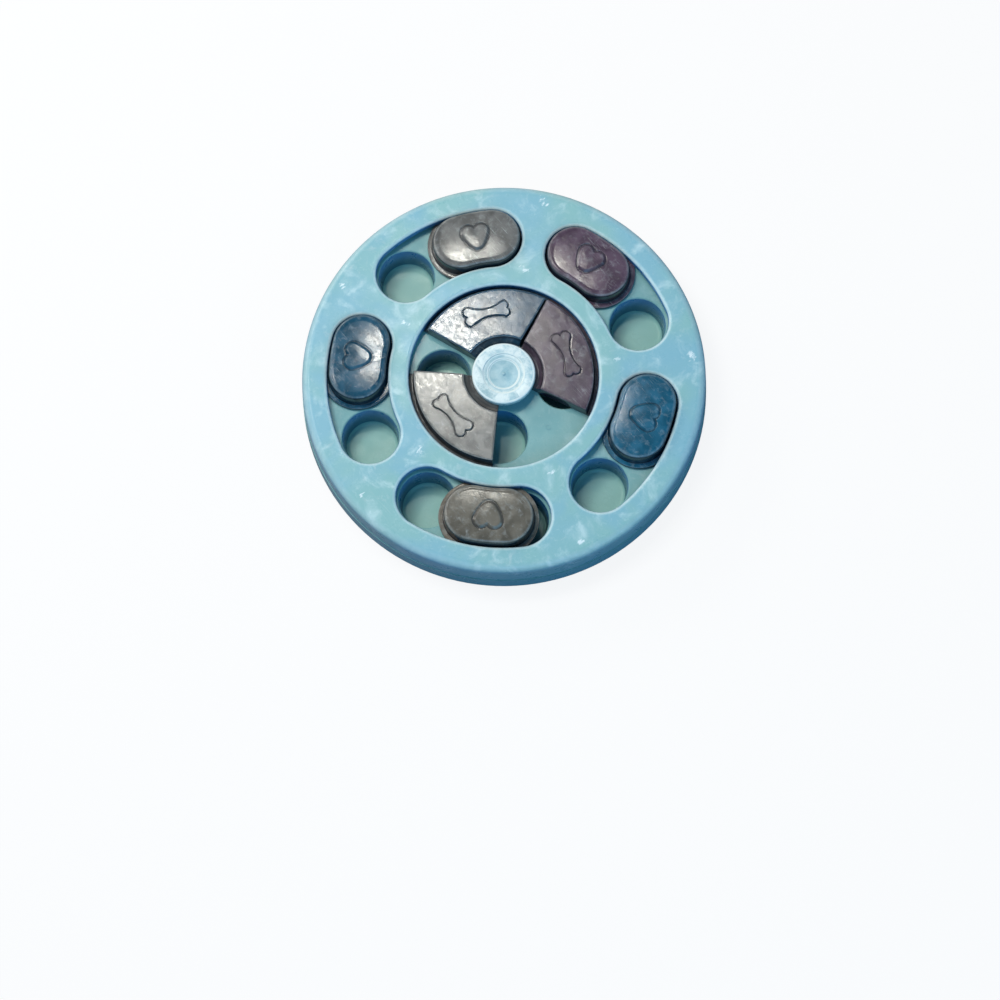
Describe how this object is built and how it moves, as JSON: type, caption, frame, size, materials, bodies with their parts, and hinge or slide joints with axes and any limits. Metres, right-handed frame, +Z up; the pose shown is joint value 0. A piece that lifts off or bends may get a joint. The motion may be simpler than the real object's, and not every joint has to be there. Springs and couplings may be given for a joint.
{
  "type": "dog puzzle feeder",
  "caption": "Round slow-feed puzzle for a dog: a tray with treat wells under a slotted cover, with heart-marked caps sliding in the rim slots and bone-marked sector caps turning round a hub.",
  "frame": {"origin": "on the disc's axis, at the surface the feet stand on", "axes": "+Z up along the disc's axis; +Y through the middle of the first rim slot"},
  "size_m": [0.2448, 0.2448, 0.0365],
  "materials": {
    "tray": "glossy moulded plastic, lightly marbled and scuffed",
    "cover": "glossy moulded plastic, lightly marbled and scuffed",
    "hub": "glossy moulded plastic, lightly marbled and scuffed",
    "slider_purple": "glossy moulded plastic, lightly marbled and scuffed",
    "slider_grey": "glossy moulded plastic, lightly marbled and scuffed",
    "slider_blue": "glossy moulded plastic, lightly marbled and scuffed",
    "slider_taupe": "glossy moulded plastic, lightly marbled and scuffed",
    "slider_teal": "glossy moulded plastic, lightly marbled and scuffed",
    "sector_blue": "glossy moulded plastic, lightly marbled and scuffed",
    "sector_grey": "glossy moulded plastic, lightly marbled and scuffed",
    "sector_purple": "glossy moulded plastic, lightly marbled and scuffed",
    "screw_steel": "zinc-plated",
    "foot_rubber": "matt"
  },
  "bodies": {
    "feeder": {"base_tray": "tray", "top_cover": "cover", "hub_cap": "hub", "hub_screw": "screw_steel", "outer_cup_1": "tray", "outer_cup_2": "tray", "outer_cup_3": "tray", "outer_cup_4": "tray", "outer_cup_5": "tray", "outer_cup_6": "tray", "outer_cup_7": "tray", "outer_cup_8": "tray", "outer_cup_9": "tray", "outer_cup_10": "tray", "inner_cup_1": "tray", "inner_cup_2": "tray", "inner_cup_3": "tray", "inner_cup_4": "tray", "cover_screw_1": "screw_steel", "cover_screw_2": "screw_steel", "cover_screw_3": "screw_steel", "cover_screw_4": "screw_steel", "cover_screw_5": "screw_steel", "rubber_foot_1": "foot_rubber", "rubber_foot_2": "foot_rubber", "rubber_foot_3": "foot_rubber", "rubber_foot_4": "foot_rubber", "rubber_foot_5": "foot_rubber"},
    "rim_cap_1": {"outer_slider_1": "slider_purple"},
    "rim_cap_2": {"outer_slider_2": "slider_grey"},
    "rim_cap_3": {"outer_slider_3": "slider_blue"},
    "rim_cap_4": {"outer_slider_4": "slider_taupe"},
    "rim_cap_5": {"outer_slider_5": "slider_teal"},
    "hub_sector_1": {"sector_slider_1": "sector_blue"},
    "hub_sector_2": {"sector_slider_2": "sector_grey"},
    "hub_sector_3": {"sector_slider_3": "sector_purple"}
  },
  "joints": [
    {"name": "rim_cap_1_slide", "type": "hinge", "parent": "feeder", "child": "rim_cap_1", "pos_m": [0, 0, 0], "axis": [0, 0, 1], "range_deg": [-25.1, 0]},
    {"name": "rim_cap_2_slide", "type": "hinge", "parent": "feeder", "child": "rim_cap_2", "pos_m": [0, 0, 0], "axis": [0, 0, 1], "range_deg": [0, 25.1]},
    {"name": "rim_cap_3_slide", "type": "hinge", "parent": "feeder", "child": "rim_cap_3", "pos_m": [0, 0, 0], "axis": [0, 0, 1], "range_deg": [0, 25.1]},
    {"name": "rim_cap_4_slide", "type": "hinge", "parent": "feeder", "child": "rim_cap_4", "pos_m": [0, 0, 0], "axis": [0, 0, 1], "range_deg": [-19.15, 5.85]},
    {"name": "rim_cap_5_slide", "type": "hinge", "parent": "feeder", "child": "rim_cap_5", "pos_m": [0, 0, 0], "axis": [0, 0, 1], "range_deg": [-25.1, 0]},
    {"name": "hub_sector_1_slide", "type": "hinge", "parent": "feeder", "child": "hub_sector_1", "pos_m": [0, 0, 0], "axis": [0, 0, 1], "range_deg": [0, 28]},
    {"name": "hub_sector_2_slide", "type": "hinge", "parent": "feeder", "child": "hub_sector_2", "pos_m": [0, 0, 0], "axis": [0, 0, 1], "range_deg": [-28, 71]},
    {"name": "hub_sector_3_slide", "type": "hinge", "parent": "feeder", "child": "hub_sector_3", "pos_m": [0, 0, 0], "axis": [0, 0, 1], "range_deg": [-71, 0]}
  ]
}
